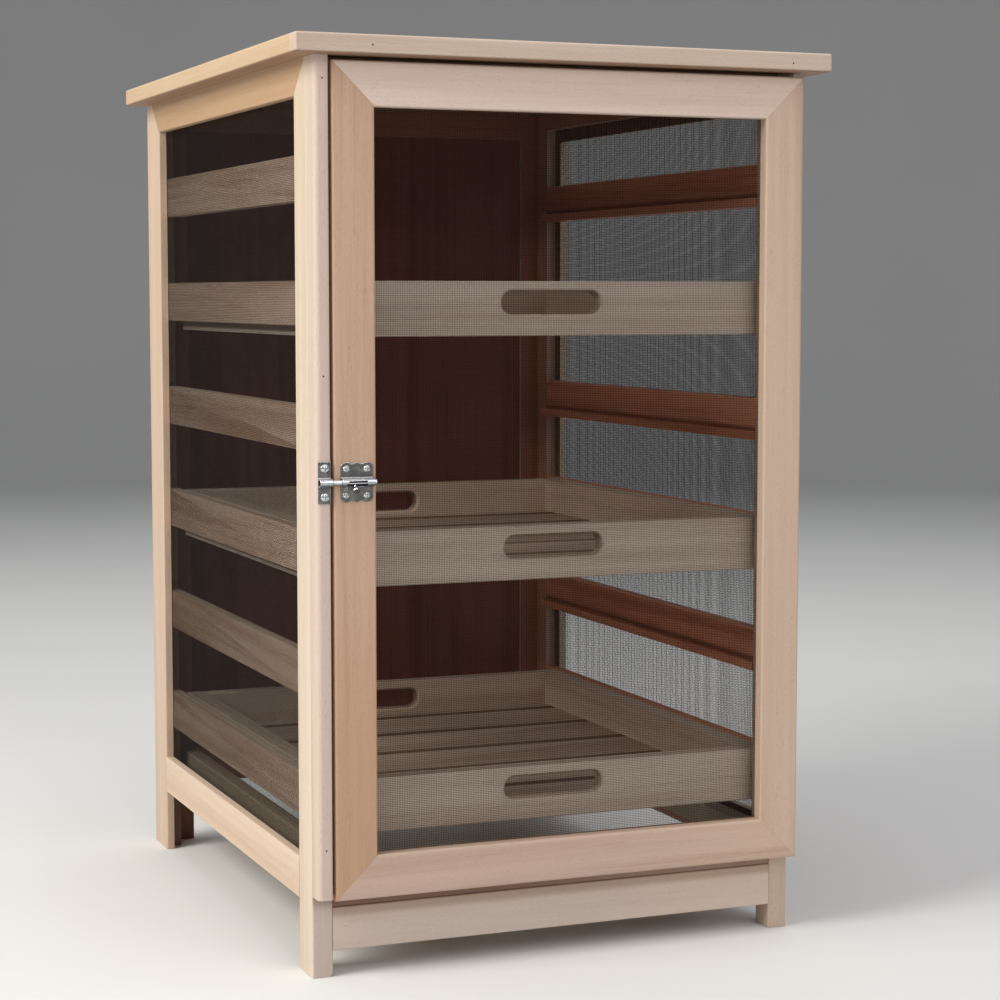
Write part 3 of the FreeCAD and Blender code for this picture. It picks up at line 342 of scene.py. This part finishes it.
for i in range(1, 7):
    z0 = 0.7245 - (i - 1) * 0.1165
    # painted shade just above the ledge and painted highlight along the top edge
    corner_shade = (("at", "Z", z0 + 0.0150, z0 + 0.0110), ("at", "Z", z0 + 0.0085, z0 + 0.0095))
    arris_highlight = (("at", "Z", z0 + 0.0402, z0 + 0.0412),)
    # painted shade: the right runners and the inward faces of the left runners are dark red for the shade
    # inside the cabinet; painted light: the left runners' outer faces are made paler
    tints = [((("at", "X", 0.0, 0.1), ("facing", "X", 0.6, 0.2)), (0.79, 0.375, 0.25)),
             ((("at", "X", 0.0, -0.1), ("facing", "X", 0.3, 0.7)), (0.79, 0.375, 0.25)),
             ((("at", "X", 0.0, -0.1), ("facing", "X", -0.3, -0.7)), (1.12, 1.03, 0.97))]
    for inner in ((("at", "X", 0.0, 0.1), ("facing", "X", -0.3, -0.7)),
                  (("at", "X", 0.0, -0.1), ("facing", "X", 0.3, 0.7))):
        tints.append((inner + corner_shade, (0.46, 0.38, 0.34)))
        tints.append((inner + arris_highlight, (1.30, 1.70, 2.00)))
    BOARDS["runner_pair_%d" % i] = ("Y", RUN, RUN_D, {
        "islands": 0.25, "contrast": 1.9, "flecks": 1.4, "tints": tuple(tints)})
for k, z0 in ((1, 0.598), (2, 0.365), (3, 0.132)):
    # the hand slots: painted shade under their upper edge, painted highlight on the lower
    slot = (((("facing", "Z", -0.2, -0.8), ("at", "Z", z0 + 0.010, z0 + 0.014)), (0.40, 0.34, 0.30)),
            ((("facing", "Z", 0.2, 0.8), ("at", "Z", z0 + 0.048, z0 + 0.044)), (1.22, 1.22, 1.20)))
    # painted shadow: a dark line on the side boards just under the runner
    wear_and_painted_light = ((("at", "Z", z0 + 0.0030, z0 + 0.0042), ("at", "Z", z0 + 0.0240, z0 + 0.0200)),
           (0.30, 0.24, 0.20))
    BOARDS["tray_%d_front" % k] = ("X", IN, IN_D, {"contrast": 1.2, "tints": slot})
    # painted light: the back board's inner face is made paler
    BOARDS["tray_%d_back" % k] = ("X", IN, IN_D, {"contrast": 1.2, "tints": slot + (
        ((("facing", "Y", -0.3, -0.7),), (1.22, 1.20, 1.20)),)})
    for side, lo, hi in (("left", -0.3, -0.7), ("right", 0.3, 0.7)):
        facing = ("facing", "X", lo, hi)
        into = ("facing", "X", -lo, -hi)
        # painted light: the side boards' inner faces are made paler
        BOARDS["tray_%d_side_%s" % (k, side)] = ("Y", IN, IN_D, {
            "contrast": 1.4, "tints": (((facing,) + wear_and_painted_light[0], wear_and_painted_light[1]), ((into,), (1.10, 1.04, 1.03)))})
    BOARDS["tray_%d_slats" % k] = ("X", scaled(IN, 0.90), scaled(IN_D, 0.86), {
        "islands": 0.45, "contrast": 1.2,
        # painted shade in the gaps: the slats' edge faces are darkened
        "tints": (((("facing", "Y", -0.3, -0.7),), (0.38, 0.32, 0.28)),
                  ((("facing", "Y", 0.3, 0.7),), (0.38, 0.32, 0.28)))})

for number, (label, (axis, light, dark, more)) in enumerate(sorted(BOARDS.items())):
    shade = 1.0 + 0.035 * math.sin(number * 2.4)
    m = wood("wood_" + label, axis, scaled(light, shade), scaled(dark, shade), number + 1, **more)
    data = NODES[label].data
    data.materials.clear()
    data.materials.append(m)


# --------------------------------------------------------------------- metal
def zinc(name, tint, rough, seed, dull=0.75, sheet=None, lower=0.45, reach=0.0016, open_at=0.95,
         grease=None):
    """Bright zinc plate. sheet is (y, tint): behind that depth the metal is
    the flat sheet, with a darker tint, a painted dark reflection. The last argument is (x0, x1, y, z,
    radius):
    the part of a rod on that axis inside its barrel, painted near black as the shade in the barrel."""
    net = Net(name)
    tc = net.node("ShaderNodeTexCoord")
    v = net.vec("ADD", tc.outputs["Object"], (0.13 * seed, 0.29 * seed, 0.41 * seed))
    cloud = net.noise(v, 130.0, 3.0, 0.6)
    scratch = net.noise(net.vec("MULTIPLY", v, (600, 2600, 4200)), 1.0, 2.0, 0.5)
    pit = net.noise(v, 2400.0, 1.0)
    tone = net.math("ADD", net.math("MULTIPLY", cloud, 0.75), net.math("MULTIPLY", scratch, 0.25))
    colour = net.ramp(tone, [(0.25, scaled(tint, 0.66)), (0.5, tint), (0.75, scaled(tint, 1.18))])
    if sheet:
        sep = net.node("ShaderNodeSeparateXYZ")
        net.link(tc.outputs["Object"], sep.inputs[0])
        y, st = sheet
        flat = net.ramp(tone, [(0.25, scaled(st, 0.6)), (0.5, st), (0.75, scaled(st, 1.5))])
        colour = net.mix(net.remap(sep.outputs["Y"], y - 0.0005, y - 0.0002, 0.0, 1.0), colour, flat)
    # painted shade: faces turned downwards are darkened, as they get less light
    ns = net.node("ShaderNodeSeparateXYZ")
    net.link(tc.outputs["Normal"], ns.inputs[0])
    underside_shade = net.remap(ns.outputs["Z"], 0.02, -0.55, 0.0, lower, True)
    colour = net.mix(underside_shade, colour, scaled(tint, 0.10))
    # grime and painted shade: a dark grey in inside corners and round the screws, where grime stays and
    # shade falls
    ao = net.node("ShaderNodeAmbientOcclusion", samples=4, only_local=False, inside=False)
    ao.inputs["Distance"].default_value = reach
    dirt_and_shade = net.remap(ao.outputs["AO"], open_at - 0.5, open_at, 1.0, 0.0, True)
    colour = net.mix(net.math("MULTIPLY", dirt_and_shade, dull), colour, scaled(tint, 0.08))
    # painted highlight: the arrises that face upwards are made bright, where light catches them
    bevel = net.node("ShaderNodeBevel", samples=6)
    bevel.inputs["Radius"].default_value = 0.0005
    geo = net.node("ShaderNodeNewGeometry")
    wide = net.node("ShaderNodeBevel", samples=8)
    wide.inputs["Radius"].default_value = 0.0011
    turn = net.math("SUBTRACT", 1.0, net.vec("DOT_PRODUCT", wide.outputs[0], geo.outputs["Normal"]))
    bs = net.node("ShaderNodeSeparateXYZ")
    net.link(wide.outputs[0], bs.inputs[0])
    up = net.remap(bs.outputs["Z"], -0.05, 0.20, 0.0, 1.0, True)
    wear_and_painted_light = net.math("MULTIPLY", net.remap(turn, 0.005, 0.06, 0.0, 1.0, True), up)
    colour = net.mix(net.math("MULTIPLY", wear_and_painted_light, 0.92), colour, (0.96, 0.97, 0.98))
    if grease:
        # painted shade: the rod inside the barrel is made near black
        x0, x1, gy, gz, gr = grease
        axis_gap = net.vec("MULTIPLY", net.vec("SUBTRACT", tc.outputs["Object"], (0, gy, gz)), (0, 1, 1))
        gs = net.node("ShaderNodeSeparateXYZ")
        net.link(tc.outputs["Object"], gs.inputs[0])
        black = net.remap(net.vec("LENGTH", axis_gap), gr + 0.0006, gr + 0.0002, 0.0, 1.0)
        black = net.math("MULTIPLY", black, net.remap(gs.outputs["X"], x0, x0 + 0.0006, 0.0, 1.0))
        black = net.math("MULTIPLY", black, net.remap(gs.outputs["X"], x1, x1 - 0.0006, 0.0, 1.0))
        colour = net.mix(net.math("MULTIPLY", black, 0.96), colour, (0.012, 0.012, 0.013))
    net.link(colour, net.bsdf.inputs["Base Color"])
    net.bsdf.inputs["Metallic"].default_value = 1.0
    r = net.math("ADD", net.math("MULTIPLY", cloud, 0.22), rough - 0.09)
    r = net.math("ADD", r, net.math("MULTIPLY", dirt_and_shade, 0.25), clamp=True)
    net.link(r, net.bsdf.inputs["Roughness"])
    bump = net.node("ShaderNodeBump")
    bump.inputs["Strength"].default_value = 0.25
    bump.inputs["Distance"].default_value = 0.00005
    net.link(net.math("ADD", net.math("MULTIPLY", scratch, 0.6), net.math("MULTIPLY", pit, 0.4)),
             bump.inputs["Height"])
    net.link(bevel.outputs[0], bump.inputs["Normal"])
    net.link(bump.outputs[0], net.bsdf.inputs["Normal"])
    return net.mat


# the flat sheet's darker tint: painted dark reflection
SHEET = (-0.3158, (0.27, 0.27, 0.255))
METALS = {
    "bolt_plate": ((0.60, 0.64, 0.68), 0.24, {"sheet": SHEET, "lower": 0.85}),
    "bolt_keeper": ((0.66, 0.70, 0.74), 0.24, {"sheet": SHEET, "lower": 0.80}),
    "bolt_rod": ((0.88, 0.90, 0.93), 0.16, {
        "reach": 0.003, "open_at": 0.90, "dull": 0.92, "lower": 0.7,
        "grease": (-0.2222, -0.2005, -0.3189, 0.466, 0.0028)}),
    "bolt_screws": ((0.78, 0.85, 0.86), 0.22, {"lower": 0.6}),
    "keeper_screws": ((0.78, 0.85, 0.86), 0.22, {"lower": 0.6}),
    "hinge_leaf_carcass": ((0.62, 0.62, 0.59), 0.32, {}),
    "hinge_leaf_door": ((0.62, 0.62, 0.59), 0.32, {}),
    "hinge_pins": ((0.70, 0.70, 0.68), 0.26, {}),
    "hinge_screws_carcass": ((0.66, 0.68, 0.66), 0.28, {}),
    "hinge_screws_door": ((0.66, 0.68, 0.66), 0.28, {}),
}
for number, (label, (tint, rough, more)) in enumerate(sorted(METALS.items())):
    data = NODES[label].data
    data.materials.clear()
    data.materials.append(zinc("metal_" + label, tint, rough, number + 1, **more))


# --------------------------------------------------------------- insect mesh
def screen_material():
    net = Net("screen_thread")
    tc = net.node("ShaderNodeTexCoord")
    n = net.noise(tc.outputs["Object"], 45.0, 3.0, 0.6)
    f = net.noise(tc.outputs["Object"], 900.0, 2.0, 0.6)
    tone = net.math("ADD", net.math("MULTIPLY", n, 0.6), net.math("MULTIPLY", f, 0.4))
    colour = net.ramp(tone, [(0.3, (0.006, 0.005, 0.005)), (0.55, (0.012, 0.010, 0.009)),
                             (0.8, (0.024, 0.020, 0.018))])
    net.link(colour, net.bsdf.inputs["Base Color"])
    net.link(net.remap(f, 0.3, 0.7, 0.50, 0.70), net.bsdf.inputs["Roughness"])
    net.bsdf.inputs["Specular IOR Level"].default_value = 0.15
    bump = net.node("ShaderNodeBump")
    bump.inputs["Strength"].default_value = 0.3
    bump.inputs["Distance"].default_value = 0.00004
    net.link(f, bump.inputs["Height"])
    net.link(bump.outputs[0], net.bsdf.inputs["Normal"])
    return net.mat


SCREEN = screen_material()
PITCH = 0.0017
THREAD = 0.000145


def screen(name, node, body, normal_axis):
    """Insect screen as separate threads, one set laid over the other, in the
    place of the plate that holds it."""
    lo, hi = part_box(node)
    u, v = [a for a in (0, 1, 2) if a != normal_axis]
    mid = (lo[normal_axis] + hi[normal_axis]) / 2
    verts, faces = [], []
    sides = 6

    def thread(along, across, at, depth, a0, a1):
        base = len(verts)
        for end in (a0, a1):
            for s in range(sides):
                t = 2 * math.pi * s / sides
                p = [0.0, 0.0, 0.0]
                p[along] = end
                p[across] = at + THREAD * math.cos(t)
                p[normal_axis] = depth + THREAD * math.sin(t)
                verts.append(p)
        for s in range(sides):
            s2 = (s + 1) % sides
            faces.append((base + s, base + s2, base + sides + s2, base + sides + s))
        faces.append(tuple(base + s for s in reversed(range(sides))))
        faces.append(tuple(base + sides + s for s in range(sides)))

    for along, across, sign in ((u, v, -1), (v, u, 1)):
        n = int((hi[across] - lo[across]) / PITCH)
        start = (lo[across] + hi[across] - (n - 1) * PITCH) / 2
        for i in range(n):
            thread(along, across, start + i * PITCH, mid + sign * THREAD * 0.5,
                   lo[along] + 0.0003, hi[along] - 0.0003)
    me = bpy.data.meshes.new(name)
    me.from_pydata(verts, [], faces)
    me.update()
    bm = bmesh.new()
    bm.from_mesh(me)
    bmesh.ops.recalc_face_normals(bm, faces=bm.faces)
    bm.to_mesh(me)
    bm.free()
    ob = bpy.data.objects.new(name, me)
    bpy.context.scene.collection.objects.link(ob)
    me.materials.append(SCREEN)
    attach(ob, body)
    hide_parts(node)
    return ob


screen("door_screen", "door_mesh", "door", 1)
screen("left_screen", "left_mesh", "carcass", 0)
screen("right_screen", "right_mesh", "carcass", 0)


# ------------------------------------------------------------ nails and brads
def nail_material():
    net = Net("nail_head")
    tc = net.node("ShaderNodeTexCoord")
    n = net.noise(tc.outputs["Object"], 1500.0, 3.0, 0.6)
    net.link(net.ramp(n, [(0.3, (0.035, 0.022, 0.014)), (0.7, (0.10, 0.070, 0.050))]),
             net.bsdf.inputs["Base Color"])
    net.link(net.remap(n, 0.3, 0.7, 0.4, 0.7), net.bsdf.inputs["Roughness"])
    net.bsdf.inputs["Metallic"].default_value = 0.6
    return net.mat


NAIL = nail_material()


def nail(name, x, y, z, rad=0.0009):
    """A punched brad head with the small collar of wood fibre round it."""
    me = bpy.data.meshes.new(name)
    bm = bmesh.new()
    rings = [(1.0, 0.0), (0.82, -0.00003), (0.55, -0.00002), (0.28, -0.00001)]
    n = 20
    loops = []
    for k, (f, d) in enumerate(rings):
        loops.append([bm.verts.new((x + rad * f * math.cos(2 * math.pi * i / n), y + d,
                                    z + rad * f * math.sin(2 * math.pi * i / n)))
                      for i in range(n)])
    for a, b in zip(loops, loops[1:]):
        for i in range(n):
            j = (i + 1) % n
            bm.faces.new((a[i], a[j], b[j], b[i]))
    bm.faces.new(loops[-1])
    back = [bm.verts.new((v.co.x, y + 0.0004, v.co.z)) for v in loops[0]]
    for i in range(n):
        j = (i + 1) % n
        bm.faces.new((loops[0][j], loops[0][i], back[i], back[j]))
    bm.faces.new(list(reversed(back)))
    bmesh.ops.recalc_face_normals(bm, faces=bm.faces)
    bm.to_mesh(me)
    bm.free()
    for p in me.polygons:
        p.use_smooth = True
    ob = bpy.data.objects.new(name, me)
    bpy.context.scene.collection.objects.link(ob)
    me.materials.append(NAIL)
    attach(ob, "carcass")
    return ob


MY = 0.295
for i, (x, z) in enumerate(((-0.199, 0.8605), (0.229, 0.8592))):
    nail("lipping_brad_%d" % (i + 1), x, -0.036 - MY, z)
for i, (x, z) in enumerate(((-0.2418, 0.831), (-0.2422, 0.563), (-0.2420, 0.125))):
    nail("strip_brad_%d" % (i + 1), x, -0.0198 - MY, z)


# --------------------------------------------------------------------- stage
def backdrop():
    """A round studio cove: a flat floor that curves up into a low wall, the
    same all the way round."""
    net = Net("cove")
    tc = net.node("ShaderNodeTexCoord")
    n = net.noise(tc.outputs["Object"], 1.5, 3.0, 0.5)
    flat = net.vec("MULTIPLY", tc.outputs["Object"], (1, 1, 0))
    # painted shade: the far wall of the cove is a darker grey, so that what is seen through the mesh
    # stays dark
    far = net.remap(net.vec("LENGTH", flat), 2.0, 6.2, 0.0, 1.0, True)
    near_tone = net.ramp(n, [(0.3, (0.78, 0.78, 0.77)), (0.7, (0.81, 0.81, 0.80))])
    far_tone = net.ramp(n, [(0.3, (0.42, 0.42, 0.42)), (0.7, (0.44, 0.44, 0.44))])
    net.link(net.mix(far, near_tone, far_tone), net.bsdf.inputs["Base Color"])
    net.bsdf.inputs["Roughness"].default_value = 0.8
    net.bsdf.inputs["Specular IOR Level"].default_value = 0.2
    turns = 128
    rad, rise, top, low = 5.5, 2.2, 4.2, -0.0002
    profile = [(0.9, low), (2.0, low), (3.8, low), (rad, low)]
    for i in range(1, 25):
        t = math.pi / 2 * i / 24
        profile.append((rad + rise * math.sin(t), low + rise * (1 - math.cos(t))))
    profile.append((rad + rise, top))
    bm = bmesh.new()
    loops = [[bm.verts.new((r * math.cos(2 * math.pi * i / turns),
                            r * math.sin(2 * math.pi * i / turns), z)) for i in range(turns)]
             for r, z in profile]
    bm.faces.new(loops[0])
    for a, b in zip(loops, loops[1:]):
        for i in range(turns):
            j = (i + 1) % turns
            bm.faces.new((a[i], a[j], b[j], b[i]))
    bmesh.ops.recalc_face_normals(bm, faces=bm.faces)
    me = bpy.data.meshes.new("cove")
    bm.to_mesh(me)
    bm.free()
    for p in me.polygons:
        p.use_smooth = True
    me.materials.append(net.mat)
    ob = bpy.data.objects.new("cove", me)
    bpy.context.scene.collection.objects.link(ob)


backdrop()

world = bpy.data.worlds.new("studio")
bpy.context.scene.world = world
world.use_nodes = True
bg = world.node_tree.nodes["Background"]
bg.inputs[0].default_value = (0.95, 0.97, 1.0, 1)
bg.inputs[1].default_value = 0.50


def softbox(name, at, to, size, power, colour):
    li = bpy.data.lights.new(name, "AREA")
    li.shape = "RECTANGLE"
    li.size, li.size_y = size
    li.energy = power
    li.color = colour
    ob = bpy.data.objects.new(name, li)
    ob.location = at
    ob.rotation_mode = "QUATERNION"
    ob.rotation_quaternion = (Vector(to) - Vector(at)).to_track_quat("-Z", "Y")
    bpy.context.scene.collection.objects.link(ob)
    return ob


softbox("key_left", (-3.0, -0.7, 2.4), (0, 0, 0.45), (1.8, 2.2), 121.0, (1.0, 0.97, 0.90))
softbox("front_fill", (0.7, -3.6, 2.3), (0, 0, 0.45), (2.6, 2.2), 41.0, (1.0, 0.93, 0.96))
softbox("top_soft", (0.2, 0.1, 3.2), (0, 0, 0.8), (2.4, 2.4), 18.0, (1.0, 0.99, 0.97))

# -------------------------------------------------------------------- camera
cam_data = bpy.data.cameras.new("camera")
cam_data.sensor_fit = "AUTO"
cam_data.sensor_width = 36.0
cam_data.lens = 85.23
cam_data.clip_start = 0.05
cam_data.clip_end = 100.0
cam = bpy.data.objects.new("camera", cam_data)
cam.location = (-0.89414, -2.37017, 0.63631)
cam.rotation_mode = "XYZ"
cam.rotation_euler = (math.radians(90 - 4.94), 0.0, math.radians(-21.86))
bpy.context.scene.collection.objects.link(cam)
bpy.context.scene.camera = cam

bpy.context.scene.view_settings.view_transform = "Standard"
bpy.context.scene.view_settings.look = "None"
bpy.context.scene.view_settings.exposure = 0.0
